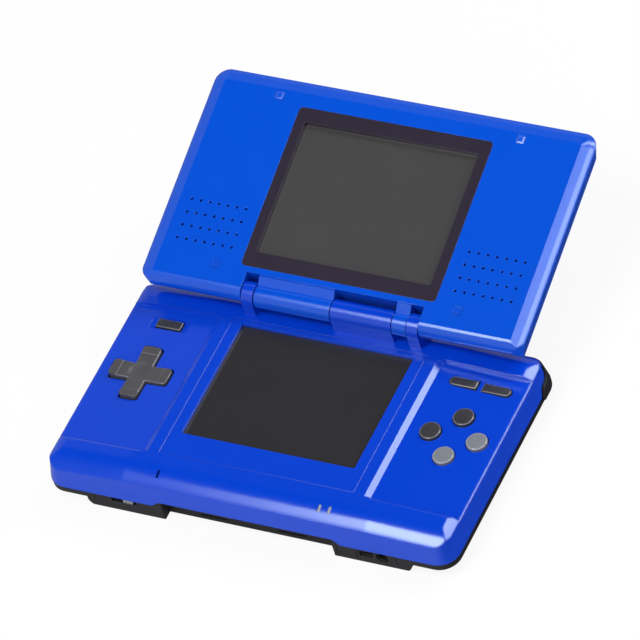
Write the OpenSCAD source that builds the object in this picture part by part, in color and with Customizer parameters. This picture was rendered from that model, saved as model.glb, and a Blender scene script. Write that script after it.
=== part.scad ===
// Clamshell handheld game console, standing open on its underside.
// Origin at the centre of the underside, X to the right, Y to the rear, Z up.
// Every lid piece is drawn with the hinge axis as its origin, then tilted into place.

/* [Base] */
// Width across the base at its parting line
base_w = 148.3; // [148:0.1:148.8]
// Depth of the base at its parting line
base_d = 84.4; // [84.2:0.1:84.8]
// Height of the centre plateau above the underside
base_h = 17; // [16.9:0.1:17.2]
// Height of the parting line between the two base covers
part_z = 6.4; // [6.2:0.1:6.6]
// Height of the crease round the top of the side walls
crease_z = 14.2; // [14:0.1:14.4]
// How far the side walls lean in between the parting line and the crease
wall_lean = 1.5; // [1.3:0.1:1.6]
// Plan radius of the base corners
base_corner = 7; // [6.8:0.1:7.4]
// Thickness of the cover walls
wall = 1.6; // [1.4:0.1:1.7]

/* [Side panels] */
// Distance from the centre line to the top of the panel step
panel_in = 39.3; // [39.1:0.1:39.7]
// Depth of the panel step at its inner end
panel_step = 1.1; // [0.9:0.1:1.2]
// Width of the sloping inner step face
panel_slope = 1.9; // [1.6:0.1:2]
// Front line of the panels
panel_front = -28.8; // [-29.5:0.1:-28]
// Rear line of the panels
panel_rear = 30.4; // [30.1:0.1:30.6]

/* [Screens] */
// Width of the touch opening
touch_w = 62.8; // [62:0.1:64]
// Front edge of the touch opening
touch_front = -19.05; // [-19.5:0.05:-18.5]
// Rear edge of the touch opening
touch_rear = 28.6; // [28:0.1:29]
// Width of the upper picture opening
view_w = 63.7; // [62:0.1:65]
// Height of the upper picture opening
view_h = 48.2; // [47:0.1:49]
// Width of the dark frame round the upper picture
frame_w = 71.1; // [70:0.1:72]
// Height of the dark frame round the upper picture
frame_h = 58.9; // [58:0.1:60]

/* [Controls] */
// Distance from the centre line to the middle of each thumb cluster
cluster_x = 57; // [56.8:0.1:57.4]
// Place of the thumb clusters along Y
cluster_y = 2.2; // [1.6:0.1:2.5]
// Tip to tip length of the direction pad
dpad_len = 21.4; // [20.5:0.1:21.8]
// Width of one direction pad arm
dpad_arm = 6.5; // [6:0.1:7]
// Distance from the cluster middle to each round button
button_ring = 8.2; // [8:0.1:8.5]
// Diameter of a round button
button_d = 7.1; // [6.8:0.1:7.3]
// Height of a round button above the panel
button_rise = 1.2; // [0.9:0.1:1.3]
// Length of the select, start and power keys
key_len = 9.9; // [9.4:0.1:10.2]
// Width of the select, start and power keys
key_w = 3.4; // [3:0.1:3.6]

/* [Lid] */
// Width across the lid at its widest line
lid_w = 139.8; // [139:0.1:141]
// Distance from the hinge axis to the far edge of the lid
lid_reach = 75.9; // [75:0.1:76.4]
// Thickness of the lid
lid_t = 11.5; // [11:0.1:11.7]
// Plan radius of the far lid corners
lid_corner = 5.2; // [5.1:0.1:5.6]
// Angle of the open lid above the horizontal
lid_tilt = 15.6; // [14:0.2:18]

/* [Hinge] */
// Place of the hinge axis along Y
axis_y = 36.95; // [36.8:0.05:37.1]
// Height of the hinge axis
axis_z = 22.5; // [22.4:0.05:22.6]
// Distance from the hinge axis to the inner face of the lid
lid_rise = 5.15; // [5.1:0.05:5.18]
// Radius of the hinge barrels
barrel_r = 4; // [3.8:0.1:4.1]
// Half width of the notch in the lid that takes the hinge
notch_x = 32.5; // [32.4:0.1:33]

/* [Hidden] */
$fn = 72;
eps = 0.01;
gap = 0.3;
blue = [0.02, 0.26, 0.84];
black = [0.13, 0.13, 0.14];
dark_grey = [0.24, 0.24, 0.25];
light_grey = [0.62, 0.63, 0.65];
screen_black = [0.17, 0.17, 0.18];
metal = [0.75, 0.75, 0.77];
board_green = [0.1, 0.35, 0.2];
rubber = [0.3, 0.3, 0.32];

// Base outline
half_w = base_w / 2;
half_d = base_d / 2;
edge_arc = 11.85;
edge_run = 7.65;
edge_in = half_d - wall_lean - edge_run;
crown_x = 44;
crown_drop = 0.8;
crown_run = 21;
crown_angle = atan(crown_drop / crown_run);
side_arc = 7.8;
side_in = 23.92;
side_rise = 0.08;
far = 150;
panel_out_z = crease_z + 0.05;
panel_in_z = base_h - panel_step;
panel_in_x = panel_in + panel_slope;
panel_out_x = half_w - wall_lean;
panel_corner = 1.4;
panel_lip = 0.9;
lip_fall = 24;
panel_fall = (panel_in_z - panel_out_z) / (panel_out_x - panel_in_x);
panel_angle = atan(panel_fall);
plateau_t = 1.2;
side_roof = 12.9;
line_x = 35.4;
line_front = -28.4;
line_rear = 30.7;
line_w = 0.25;
line_depth = 0.12;

// Lower cover
rim_inset = 0.15;
wing_z = 3.2;
wing_bevel = 0.8;
pod_x = 58.8;
pod_round = 3.2;
pod_bevel = 0.4;
floor_t = 1.5;
slot_x = 30.9;
notch_ramp = 2.8;
slot_front = -38.4;
slot_rear = -2;
slot_top = 8.2;
slot_wall = 1.2;
tunnel_top = 8.8;
rib_t = 1;

// Circuit board and what stands on it
board_z = 9;
board_t = 0.8;
board_x = 66;
board_front = -37;
board_rear = 29;
flange_z = 11.4;
flange_t = 0.9;
screw_at = [[-54.6, -30], [54.6, -30], [-44, -13], [44, -13], [25, 36.4], [51.5, 17.4]];
screw_shaft = 0.95;
screw_head = 1.9;
boss_r = 2.4;

// Rear card slot, stylus and ports
card_x = 17.2;
card_lo = 4.3;
card_hi = 8.5;
card_front = 9;
card_skin = 0.45;
stylus_x = 34.9;
stylus_z = 5;
stylus_r = 2.2;
stylus_len = 75;
jack_x = 48.6;
jack_z = 4.25;
jack_bore = 1.8;
jack_nose = 2.1;
groove_w = 0.3;
groove_d = 0.3;
aux_x = 43;
charge_x = -19.4;
volume_lo = -49.5;
volume_hi = -40.2;
volume_z = 4.1;
knob_x = -43.55;
knob_w = 3.4;
mic_x = -32;
lamp_x = [26.6, 30.2];
lamp_front = -37.9;
lamp_rear = -35.3;
lamp_w = 1.1;

// Direction pad and keys
pivot_z = 11.3;
pad_top = 16.45;
pad_gap = 0.5;
key_y = 23.85;
select_x = 51.15;
start_x = 62.95;
power_x = -56.6;
key_rise = 0.6;

// Shoulder buttons
shoulder_in = 52;
shoulder_front = 31.4;
shoulder_lo = 4.8;
shoulder_hi = 12.3;
shoulder_proud = 0.6;
shoulder_skin = 2.6;
shoulder_pin_x = 54.6;
shoulder_pin_y = 38.6;
shoulder_pin_r = 1;
shoulder_gap = 0.35;
shoulder_swing = 0.8;

// Hinge stations along X
knuckle_in = 28.1;
knuckle_out = 32.2;
knuckle_r = 4.35;
base_barrel = [0.25, 22.3];
lid_barrel = [-27.75, -0.1];
lid_knuckle = [22.65, 27.75];
pin_r = 1.5;
running = 0.05;
clutch_r = 2.6;

// Lid profile, measured from the hinge axis
lid_half = lid_w / 2;
lid_in = lid_rise;
lid_out = lid_rise - lid_t;
bevel_w = 4.5;
rim_w = 1.6;
rim_drop = 0.9;
widest_drop = 1.75;
lid_part = 2.4;
lid_taper = 0.3;
lid_round = 2.6;
roll_r = 3.85;
roll_u = 0.5;
roll_z = lid_in - roll_r;
heel_r = 3.5;
heel_u = 2;
heel_z = lid_out + heel_r;
heel_corner = 6.5;
heel_over = 0.4;
arc_over = 0.05;
notch_u = 5.5;
view_lo = 13.03;
view_drop = 1.6;
frame_lo = 7.55;
plug_u = 69;
bumper_u = 6.2;
fix_x = 44.2;
grid_x = 40.82;
grid_dx = 3.36;
grid_u = 27.1;
grid_du = 4.75;
grid_cols = 7;
grid_rows = 4;
grid_hole = 0.5;

// Height of the panel surface at a distance from the centre line
function panel_z(x) = panel_in_z - (abs(x) - panel_in_x) * panel_fall;

// Rectangle with rounded corners, from two opposite corners
module round_rect(lo, hi, r) {
    translate([lo[0] + r, lo[1]]) square([hi[0] - lo[0] - 2 * r, hi[1] - lo[1]]);
    translate([lo[0], lo[1] + r]) square([hi[0] - lo[0], hi[1] - lo[1] - 2 * r]);
    for (x = [lo[0] + r, hi[0] - r], y = [lo[1] + r, hi[1] - r])
        translate([x, y]) circle(r);
}

// Upright block on a rounded rectangle
module round_block(lo, hi, r, z0, z1) {
    translate([0, 0, z0]) linear_extrude(z1 - z0) round_rect(lo, hi, r);
}

// Box from two opposite corners
module box(lo, hi) {
    translate(lo) cube([hi[0] - lo[0], hi[1] - lo[1], hi[2] - lo[2]]);
}

// Mirror image pair about the centre plane
module both_sides() {
    children();
    mirror([1, 0, 0]) children();
}

// Upright cylinder from one height to another
module post(x, y, r, z0, z1) {
    translate([x, y, z0]) cylinder(r = r, h = z1 - z0);
}

// Cylinder lying along X, on the hinge axis
module axle(r, x0, x1) {
    translate([x0, axis_y, axis_z]) rotate([0, 90, 0]) cylinder(r = r, h = x1 - x0);
}

// Block with one edge profile all round. The profile runs outwards from the centres of
// the plan corners: it is turned through each corner and extruded along each side
module plinth(hx, hy, rc, z0, z1) {
    cx = hx - rc;
    cy = hy - rc;
    turn_at = [[cx, cy, 0], [-cx, cy, 90], [-cx, -cy, 180], [cx, -cy, 270]];
    for (t = turn_at)
        translate([t[0], t[1], 0]) rotate(t[2]) rotate_extrude(angle = 90) children();
    for (s = [0, 180]) {
        rotate(s) translate([cx, 0, 0]) rotate([90, 0, 0])
            linear_extrude(2 * cy, center = true) children();
        rotate(s + 90) translate([cy, 0, 0]) rotate([90, 0, 0])
            linear_extrude(2 * cx, center = true) children();
    }
    translate([-cx, -cy, z0]) cube([2 * cx, 2 * cy, z1 - z0]);
}

// Leaning side wall in section, drawn outwards from the centre of a plan corner
module wall_edge(rc, z1) {
    lean = wall_lean / (crease_z - part_z);
    polygon([[0, part_z], [rc, part_z], [rc - lean * (z1 - part_z), z1], [0, z1]]);
}

// Front to rear section of the top: flat, with a large roll down to each crease
module top_section() {
    translate([-edge_in, -far]) square([2 * edge_in, far + base_h]);
    for (s = [-1, 1]) translate([s * edge_in, base_h - edge_arc]) circle(edge_arc, $fn = 180);
    translate([-edge_in - edge_arc, -far])
        square([2 * (edge_in + edge_arc), far + base_h - edge_arc]);
}

// The same section run from side to side
module top_prism() {
    rotate([90, 0, 90]) linear_extrude(2 * far, center = true) top_section();
}

// Side to side section of one end of the crown, measured from where the crown begins
module side_section() {
    z = side_rise - side_arc;
    translate([-far, -far]) square([far + side_in, far + 1]);
    translate([side_in, z]) circle(side_arc, $fn = 180);
    translate([-far, -far]) square([far + side_in + side_arc, far + z]);
}

// Turns a piece about the line where the right hand fall of the crown begins
module on_crown() {
    translate([crown_x, 0, base_h]) rotate([0, crown_angle, 0]) children();
}

// Outside of the upper base cover. The rolled top is one section that bends down a little
// towards each side, so the rolls of neighbouring edges meet in mitred corners
module base_top_form() {
    difference() {
        intersection() {
            plinth(half_w, half_d, base_corner, part_z, base_h + 1)
                wall_edge(base_corner, base_h + 1);
            top_prism();
            on_crown() translate([0, 0, -base_h]) top_prism();
            mirror([1, 0, 0]) on_crown() translate([0, 0, -base_h]) top_prism();
            on_crown() rotate([90, 0, 0]) linear_extrude(far, center = true) side_section();
            mirror([1, 0, 0]) on_crown() rotate([90, 0, 0])
                linear_extrude(far, center = true) side_section();
        }
        both_sides() panel_recess();
    }
}

// Side panel: a falling surface below the crown, with a sloping inner step and a thin
// sloping lip along its front wall
module panel_recess() {
    intersection() {
        translate([panel_in_x, -half_d, panel_in_z]) rotate([0, panel_angle, 0])
            translate([-10, 0, 0]) cube([50, base_d, 6]);
        round_block([panel_in_x - 0.1, panel_front], [half_w + 9, panel_rear],
            panel_corner, crease_z - 1, base_h + 1);
    }
    intersection() {
        translate([panel_in, panel_front, base_h])
            rotate([0, atan(panel_step / panel_slope), 0])
            cube([3, panel_rear - panel_front - panel_corner / 2, 3]);
        box([panel_in - 0.1, panel_front, panel_in_z - eps],
            [panel_in_x + panel_corner / 2, panel_rear, base_h + 1]);
    }
    on_crown() translate([panel_in_x - crown_x, panel_front - panel_lip, 0])
        rotate([-lip_fall, 0, 0]) cube([half_w, 2, 2]);
}

// Hollow of the upper base cover
module base_top_hollow() {
    round_block([-(half_w - 3.4), -(half_d - 3.4)], [half_w - 3.4, half_d - 3.4],
        base_corner - 3.4, part_z - 1, side_roof);
    round_block([-(panel_in - 1.2), -33], [panel_in - 1.2, 32], 2, side_roof - eps,
        base_h - plateau_t);
}

// Fixed hinge knuckles that stand on the rear of the base
module base_knuckles() {
    both_sides() {
        axle(knuckle_r, knuckle_in, knuckle_out);
        box([knuckle_in, axis_y - knuckle_r, crease_z],
            [knuckle_out, axis_y + knuckle_r - 0.8, axis_z]);
    }
    axle(barrel_r, base_barrel[0], base_barrel[1]);
    box([base_barrel[0], axis_y - barrel_r, crease_z],
        [base_barrel[1], axis_y + barrel_r - 0.4, axis_z]);
}

// Plus shape of the direction pad, grown by a clearance
module plus_shape(grow) {
    l = dpad_len / 2 + grow;
    a = dpad_arm / 2 + grow;
    round_rect([-l, -a], [l, a], 1.3);
    round_rect([-a, -l], [a, l], 1.3);
}

// Key outline with one round and one square end, round end at the left
module half_round_key(len, w, grow) {
    r = w / 2 + grow;
    translate([-len / 2 + w / 2, 0]) circle(r);
    translate([-len / 2 + w / 2, -r]) square([len - w / 2 + grow, 2 * r]);
}

// Where each round button stands, as steps from the cluster middle
function button_at(step) = [cluster_x + step[0] * button_ring, cluster_y + step[1] * button_ring];
a_at = button_at([1, 0]);
b_at = button_at([0, -1]);
x_at = button_at([0, 1]);
y_at = button_at([-1, 0]);

// Holes for the controls, screens, lamps and microphone
module top_openings() {
    round_block([-touch_w / 2, touch_front], [touch_w / 2, touch_rear], 0.6, side_roof,
        base_h + 1);
    translate([-cluster_x, cluster_y, side_roof - 1]) linear_extrude(6) plus_shape(pad_gap);
    for (p = [a_at, b_at, x_at, y_at])
        post(p[0], p[1], button_d / 2 + 0.25, side_roof - 1, base_h + 1);
    translate([select_x, key_y, side_roof - 1]) linear_extrude(6)
        half_round_key(key_len, key_w, 0.25);
    translate([start_x, key_y, side_roof - 1]) mirror([1, 0, 0]) linear_extrude(6)
        half_round_key(key_len, key_w, 0.25);
    box([power_x - key_len / 2 + 0.15, key_y - key_w / 2 - 0.25, side_roof - 1],
        [power_x + key_len / 2 - 0.15, key_y + key_w / 2 + 0.25, base_h + 1]);
    translate([0, 0, panel_z(power_x) - 0.5])
        box([power_x - 7, key_y - 2.4, 0], [power_x + 7, key_y + 2.4, 3]);
    round_block([mic_x - 0.5, -37.8], [mic_x + 0.5, -34.9], 0.3, side_roof, base_h + 1);
    for (x = lamp_x)
        round_block([x - lamp_w / 2, lamp_front], [x + lamp_w / 2, lamp_rear], 0.3, side_roof,
            base_h + 1);
}

// Fine line that frames the touch opening
module touch_line() {
    difference() {
        box([-line_x, line_front, base_h - line_depth], [line_x, line_rear, base_h + 1]);
        box([-line_x + line_w, line_front + line_w, base_h - 1],
            [line_x - line_w, line_rear - line_w, base_h + 2]);
    }
}

// Side outline of a shoulder button, low at its front end and tall at the corner
module shoulder_side(grow, front) {
    g = grow;
    f = shoulder_front - front;
    b = g + front / 2;
    polygon([[f, shoulder_lo - g], [f, 6 + g], [f + 1.9, 8.6 + g], [36.8 - b, 9.6 + g],
        [39.2 - b, shoulder_hi + g], [half_d + 3, shoulder_hi + g],
        [half_d + 3, shoulder_lo - g]]);
}

// Space that a shoulder button and its swing need at the right rear corner
module shoulder_space() {
    box([shoulder_in - shoulder_gap, half_d - shoulder_skin - 2.6, shoulder_lo - shoulder_gap],
        [half_w - 7, half_d + 2, shoulder_hi + shoulder_gap]);
    translate([half_w - 7.5, 0, 0]) rotate([90, 0, 90]) linear_extrude(9)
        shoulder_side(shoulder_gap, shoulder_swing);
}

// Openings in the rear and front walls that both base covers share
module wall_openings() {
    box([-card_x - 0.2, 30, card_lo - 0.25], [card_x + 0.2, half_d + 2, card_hi + 0.25]);
    translate([stylus_x, 30, stylus_z]) rotate([-90, 0, 0]) cylinder(r = stylus_r + 0.25, h = 20);
    box([charge_x - 5.2 - 8, 30, 3.2], [charge_x - 8 + 5.2, half_d + 2, 7.6]);
    box([-slot_x, -half_d - 2, floor_t], [slot_x, slot_rear, slot_top]);
    box([-slot_x, -half_d - 2, -1], [slot_x, slot_front, slot_top]);
}

module base_top_cover() {
    color(blue) difference() {
        union() {
            difference() {
                union() {
                    base_top_form();
                    base_knuckles();
                }
                base_top_hollow();
            }
            for (p = screw_at)
                post(p[0], p[1], boss_r, board_z + board_t + 0.1, side_roof + eps);
        }
        for (p = screw_at)
            post(p[0], p[1], screw_shaft + running, board_z, side_roof - 0.4);
        top_openings();
        touch_line();
        wall_openings();
        rim_notch(38.6, half_d + 1);
        both_sides() shoulder_space();
        axle(pin_r + running, -knuckle_out - 1, -knuckle_in + 1);
        axle(pin_r + running, base_barrel[1] - 3, knuckle_out - 1);
        axle(clutch_r + running, base_barrel[0] - 1, base_barrel[1] - 2);
    }
}

// Edge of the lower cover wings
module wing_edge() {
    r = base_corner - rim_inset;
    polygon([[0, wing_z], [r - wing_bevel, wing_z], [r, wing_z + wing_bevel], [r, part_z],
        [0, part_z]]);
}

// Side to side section of the deep middle of the lower cover, with rounded lower corners
module pod_section() {
    x = pod_x - pod_round;
    translate([-pod_x, pod_round]) square([2 * pod_x, part_z - pod_round]);
    translate([-x, 0]) square([2 * x, part_z]);
    for (s = [-1, 1]) translate([s * x, pod_round]) circle(pod_round);
}

module base_bottom_form() {
    y = half_d - rim_inset;
    plinth(half_w - rim_inset, y, base_corner - rim_inset, wing_z, part_z) wing_edge();
    intersection() {
        rotate([90, 0, 0]) linear_extrude(2 * y, center = true) pod_section();
        rotate([90, 0, 90]) linear_extrude(2 * pod_x + 2, center = true)
            polygon([[-y, pod_bevel], [pod_bevel - y, 0], [y - pod_bevel, 0], [y, pod_bevel],
                [y, part_z], [-y, part_z]]);
    }
}

// Section of the notch that the front slot makes in the rim, with a ramp at each end
module notch_section() {
    x = slot_x + 0.5;
    polygon([[-x - notch_ramp, part_z - 1], [-x - notch_ramp, part_z], [-x, slot_top],
        [x, slot_top], [x + notch_ramp, part_z], [x + notch_ramp, part_z - 1]]);
}

// The notch through the front wall between two distances from the centre
module rim_notch(y0, y1) {
    translate([0, -y0, 0]) rotate([90, 0, 0]) linear_extrude(y1 - y0) notch_section();
}

// Fine grooves on the front face of the lower cover, as [x0, z0, x1, z1]
groove_at = [[32.25, 1.2, 32.25, part_z], [32.25, 1.2, 44.6, 1.2], [39.3, 1.2, 39.3, part_z],
    [44.6, 0.9, 50.3, 0.9], [44.6, 0.9, 44.6, 1.2], [53.65, 1.6, 53.65, part_z],
    [-55.9, 3.3, -55.9, part_z]];

module front_grooves() {
    y = half_d - rim_inset;
    for (g = groove_at)
        box([g[0], -y - 1, g[1]], [g[2] + groove_w, -y + groove_d, g[3] + groove_w]);
}

module base_bottom_hollow() {
    inset = 2;
    round_block([-(half_w - rim_inset - inset), -(half_d - rim_inset - inset)],
        [half_w - rim_inset - inset, half_d - rim_inset - inset],
        base_corner - inset - rim_inset, wing_z + 1.2, part_z + 1);
    round_block([-(pod_x - inset), -(half_d - rim_inset - inset)],
        [pod_x - inset, half_d - rim_inset - inset], 1, floor_t, part_z + 1);
}

// Battery bay in the floor, to the left of the card slot
bay = [[-52.6, 2.4], [-20, 36.4]];
bay_screw = [-36.3, 33.4];

module base_bottom_cover() {
    color(black) base_bottom_body();
    color(black) both_sides() {
        post(shoulder_pin_x, shoulder_pin_y, shoulder_pin_r, floor_t - 0.5, shoulder_hi + 0.3);
        post(shoulder_pin_x, shoulder_pin_y, shoulder_pin_r + 0.8, floor_t - 0.5,
            shoulder_lo - 0.3);
    }
}

module base_bottom_body() {
    difference() {
        union() {
            difference() {
                base_bottom_form();
                base_bottom_hollow();
            }
            box([-slot_x - slot_wall, -38.7, 0.5],
                [slot_x + slot_wall, slot_rear, tunnel_top]);
            both_sides() box([slot_x, -half_d + 1, 0.5], [slot_x + slot_wall, -38, part_z]);
            rim_notch(38.6, half_d - 0.45);
            box([bay[0][0] - 0.4, bay[0][1] - 0.4, 0.5],
                [bay[1][0] + 0.4, bay[1][1] + 0.4, tunnel_top - 0.2]);
            box([stylus_x + stylus_r + 0.4, -34, floor_t - eps],
                [stylus_x + stylus_r + 0.4 + rib_t, half_d - 2, part_z]);
            for (p = screw_at) post(p[0], p[1], boss_r + 0.4, 0.5, board_z - 0.1);
        }
        wall_openings();
        front_grooves();
        both_sides() shoulder_space();
        round_block(bay[0], bay[1], 1, -1, floor_t);
        difference() {
            box([bay[0][0] + 1.2, bay[0][1] + 1.2, 1],
                [bay[1][0] - 1.2, bay[1][1] - 1.2, tunnel_top - 1]);
            box([bay[0][0], bay_screw[1] - boss_r, floor_t], [bay[1][0], half_d, base_h]);
        }
        post(bay_screw[0], bay_screw[1], 0.85, 0, part_z - 1);
        for (p = screw_at) {
            post(p[0], p[1], screw_shaft + running, -1, board_z);
            post(p[0], p[1], screw_head + 0.2, -1, floor_t);
        }
        translate([jack_x, -half_d - 1, jack_z]) rotate([-90, 0, 0]) cylinder(r = jack_nose + 0.1, h = 5);
        box([aux_x - 2.5, -half_d - 1, jack_z - 1.35], [aux_x + 2.5, -half_d + 4, jack_z + 1.55]);
        box([volume_lo, -half_d - 1, volume_z], [volume_hi, -half_d + 4, part_z + 1]);
    }
}

module touch_panel() {
    color(screen_black)
        round_block([-33.4, touch_front - 2], [33.4, touch_rear + 1.7], 0.8, 15, 15.7);
}

module lower_lcd() {
    color(light_grey) {
        round_block([-32.6, touch_front - 1.2], [32.6, touch_rear + 1], 0.8, 12, 14.9);
        box([-14, touch_front - 6, 12.3], [14, touch_front - 1.2 + eps, 12.7]);
    }
}

module main_board() {
    color(board_green) difference() {
        union() {
            round_block([-board_x, board_front], [board_x, board_rear], 4, board_z,
                board_z + board_t);
            for (x = [-22, 2, 19])
                box([x, -14, board_z + board_t - eps], [x + 12, 0, board_z + board_t + 1.1]);
        }
        for (p = screw_at) post(p[0], p[1], boss_r + 0.7, board_z - 1, board_z + 2);
    }
}

// Thin steel guide for the rear game card, open towards the rear
module card_slot_housing() {
    color(metal) difference() {
        box([-card_x, card_front - 2, card_lo - card_skin / 2],
            [card_x, half_d - 1.2, card_hi + card_skin / 2]);
        box([-card_x + 0.5, card_front, card_lo], [card_x - 0.5, half_d, card_hi]);
    }
}

// Contact block at the inner end of the front cartridge slot
module cartridge_connector() {
    color(dark_grey) difference() {
        box([-slot_x + 0.2, slot_rear + 0.2, floor_t + 0.2], [slot_x - 0.2, 1.6, board_z]);
        box([-26, slot_rear - 1, 3.6], [26, 0.6, 6.2]);
    }
}

// Dust cover that fills the front slot: a front lip and a hollow tray behind it
module cartridge_slot_cover() {
    x = slot_x - gap;
    z0 = floor_t + gap;
    z1 = slot_top - gap;
    color(black) difference() {
        union() {
            box([-x, slot_front, z0], [x, slot_front + 1.6, z1]);
            box([-x + 0.6, slot_front, z0], [x - 0.6, -6, z1 - 0.2]);
        }
        box([-x + 1.8, slot_front + 1.6, z0 + 1.2], [x - 1.8, -7.2, z1 + 1]);
        for (sx = [-1, 1])
            box([sx * 14 - 5, slot_front - 1, z0 - 1], [sx * 14 + 5, slot_front + 0.5, z0 + 0.6]);
    }
}

module battery() {
    color(light_grey) round_block([bay[0][0] + 1.5, bay[0][1] + 1.5],
        [bay[1][0] - 1.5, bay_screw[1] - boss_r - 0.3], 1, floor_t + 0.1, tunnel_top - 1.2);
}

// Door under the battery, with a recess for its screw
module battery_cover() {
    color(black) difference() {
        round_block([bay[0][0] + 0.2, bay[0][1] + 0.2], [bay[1][0] - 0.2, bay[1][1] - 0.2],
            0.8, 0.1, floor_t);
        post(bay_screw[0], bay_screw[1], screw_head + 0.2, -1, 1);
        post(bay_screw[0], bay_screw[1], screw_shaft + running, -1, 2);
    }
}

// Countersunk cross-head screw standing on its head
module screw(x, y, z0, z1, head_r) {
    difference() {
        union() {
            post(x, y, head_r, z0, z0 + 0.9);
            post(x, y, screw_shaft - 0.15, z0, z1);
        }
        for (turn = [0, 90])
            translate([x, y, z0]) rotate(turn) cube([head_r * 1.3, 0.5, 0.9], center = true);
    }
}

module battery_cover_screw() {
    color(metal) screw(bay_screw[0], bay_screw[1], 0.1, part_z - 1.5, screw_head - 0.1);
}

module case_screws() {
    color(metal) for (p = screw_at) screw(p[0], p[1], 0.6, side_roof - 0.8, screw_head);
}

// Soft pad under the direction pad, with one contact pill below each arm
module d_pad_membrane() {
    color(rubber) {
        post(-cluster_x, cluster_y, 7.3, 10.35, 10.7);
        for (turn = [0:90:270])
            translate([-cluster_x, cluster_y, 10.22]) rotate(turn) translate([5.2, 0, 0])
                cylinder(r = 1.4, h = 0.2);
    }
}

// Soft sheet under the four round buttons, with a low dome below each
module button_membrane() {
    z0 = board_z + board_t + 0.05;
    color(rubber) {
        round_block([cluster_x - 12, cluster_y - 12.5], [cluster_x + 12, cluster_y + 12.5], 4,
            z0, z0 + 0.4);
        for (p = [a_at, b_at, x_at, y_at])
            translate([p[0], p[1], z0 + 0.4 - eps]) cylinder(r1 = 3.4, r2 = 2.2, h = 0.3);
    }
}

// Cross with a dished middle, raised arm ends and a flange that holds it under the cover
module d_pad() {
    color(dark_grey) translate([-cluster_x, cluster_y, 0]) {
        difference() {
            translate([0, 0, pivot_z]) linear_extrude(pad_top - pivot_z) plus_shape(0);
            translate([-7.6, -7.6, pad_top - 0.3]) cube([15.2, 15.2, 1]);
            translate([0, 0, pad_top + 10.9]) sphere(r = 12);
        }
        difference() {
            post(0, 0, 10.9, pivot_z, pivot_z + 0.75);
            for (turn = [45:90:315])
                rotate(turn) translate([9.4, 0, pivot_z - 1]) cylinder(r = 2.4, h = 3);
        }
        post(0, 0, 1.3, 10.75, pivot_z + 0.1);
    }
}

// Round button: domed cap, straight shank and holding flange
module round_button(at) {
    top = panel_z(at[0]) + button_rise;
    dome = 22;
    r = button_d / 2;
    intersection() {
        post(at[0], at[1], r, flange_z, top + 1);
        translate([at[0], at[1], top - dome]) sphere(r = dome, $fn = 120);
    }
    post(at[0], at[1], r + 0.9, flange_z, flange_z + flange_t);
}

module button_a() {
    color(light_grey) round_button(a_at);
}

module button_b() {
    color(light_grey) round_button(b_at);
}

module button_x() {
    color(dark_grey) round_button(x_at);
}

module button_y() {
    color(dark_grey) round_button(y_at);
}

// Select key; the start key is its mirror image
module pill_key(x) {
    translate([x, key_y, 0]) {
        translate([0, 0, flange_z]) linear_extrude(panel_z(x) + key_rise - flange_z)
            half_round_key(key_len, key_w, 0);
        box([-key_len / 2 - 0.4, -key_w / 2 - 0.7, flange_z],
            [key_len / 2 + 0.4, key_w / 2 + 0.7, flange_z + flange_t]);
    }
}

module select_key() {
    color(dark_grey) pill_key(select_x);
}

module start_key() {
    color(dark_grey) translate([start_x, 0, 0]) mirror([1, 0, 0]) translate([-start_x, 0, 0])
        pill_key(start_x);
}

module power_key() {
    l = key_len - 0.8;
    color(dark_grey) translate([power_x, key_y, 0]) {
        box([-l / 2, -key_w / 2, flange_z], [l / 2, key_w / 2, panel_z(power_x) + 0.4]);
        box([-l / 2 - 0.8, -key_w / 2 - 0.8, flange_z],
            [l / 2 + 0.8, key_w / 2 + 0.8, flange_z + flange_t]);
    }
}

// Right shoulder button: a skin round the rear corner that turns on an upright pin
module shoulder_button() {
    h = shoulder_hi - shoulder_lo;
    grow = shoulder_proud;
    skin = shoulder_skin;
    difference() {
        intersection() {
            union() {
                round_block([-half_w - grow, -half_d - grow], [half_w + grow, half_d + grow],
                    base_corner + grow, shoulder_lo, part_z);
                plinth(half_w + grow, half_d + grow, base_corner + grow, part_z, shoulder_hi)
                    wall_edge(base_corner + grow, shoulder_hi);
            }
            rotate([90, 0, 90]) linear_extrude(half_w + 2) shoulder_side(0, 0);
            box([shoulder_in, shoulder_front, 0], [half_w + 2, half_d + 2, base_h]);
        }
        round_block([-half_w + skin, -half_d + skin], [half_w - skin, half_d - skin],
            base_corner - skin, 0, base_h);
    }
    difference() {
        union() {
            post(shoulder_pin_x, shoulder_pin_y, 2, shoulder_lo, shoulder_hi);
            box([shoulder_pin_x - 2, shoulder_pin_y, shoulder_lo],
                [shoulder_pin_x + 2, half_d - 1, shoulder_hi]);
        }
        post(shoulder_pin_x, shoulder_pin_y, shoulder_pin_r + running, 0, base_h);
    }
}

module right_shoulder_button() {
    color(black) shoulder_button();
}

module left_shoulder_button() {
    color(black) mirror([1, 0, 0]) shoulder_button();
}

// Slide control behind the volume slot
module volume_control() {
    color(dark_grey) difference() {
        box([volume_lo - 1, -36.6, 2.4], [volume_hi + 1, -32, 8]);
        box([volume_lo - 0.2, -37, volume_z - 0.2], [volume_hi + 0.2, -34.4, part_z + 0.4]);
    }
}

module volume_knob() {
    z0 = volume_z + 0.25;
    z1 = part_z - 0.25;
    color(light_grey) difference() {
        union() {
            box([knob_x - knob_w / 2, -half_d + 0.3, z0], [knob_x + knob_w / 2, -38.6, z1]);
            box([knob_x - 1, -39, z0 + 0.2], [knob_x + 1, -34.8, z1 - 0.2]);
        }
        for (step = [-1:1])
            box([knob_x + step * 0.9 - 0.15, -half_d, z0 - 1],
                [knob_x + step * 0.9 + 0.15, -half_d + 0.5, z1 + 1]);
    }
}

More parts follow.
